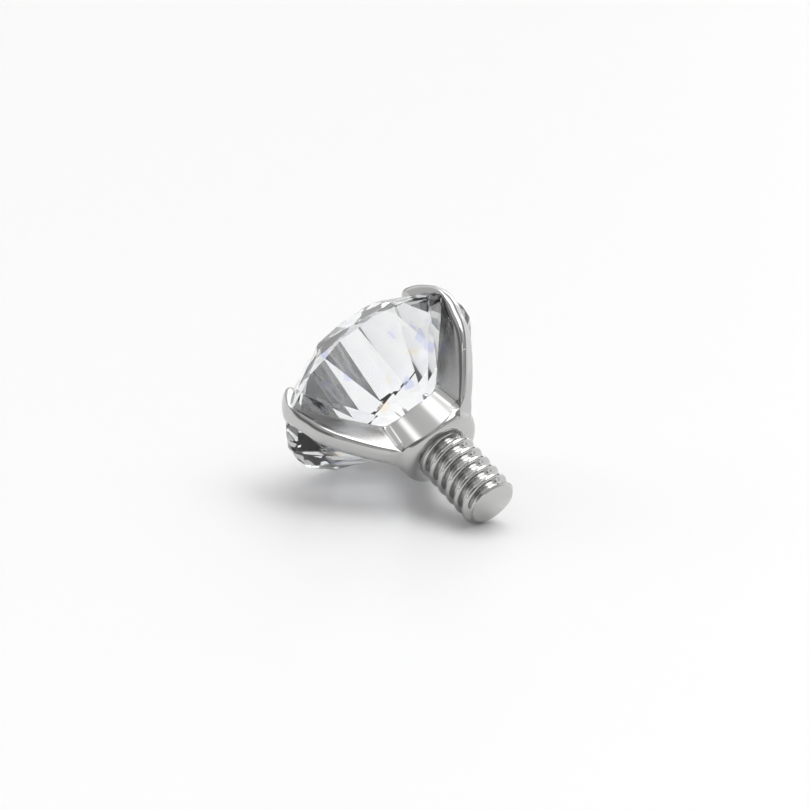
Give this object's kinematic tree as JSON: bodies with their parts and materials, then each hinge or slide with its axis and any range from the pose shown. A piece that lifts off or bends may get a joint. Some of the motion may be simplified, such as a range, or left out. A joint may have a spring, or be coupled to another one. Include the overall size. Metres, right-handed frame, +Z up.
{
  "type": "dermal anchor top",
  "caption": "Screw-in body jewellery top: round brilliant stone held by three claws on a short threaded post.",
  "frame": {"origin": "bottom centre of the bounding box, on the surface the piece lies on", "axes": "+Z up, the threaded post points toward -Y and slopes down to the surface, the stone's table faces +Y and up"},
  "size_m": [0.005, 0.0056, 0.0046],
  "materials": {
    "stone": "polished facets",
    "steel": "mirror polished"
  },
  "bodies": {
    "root": {"round_stone": "stone", "claw_setting": "steel"}
  },
  "joints": []
}
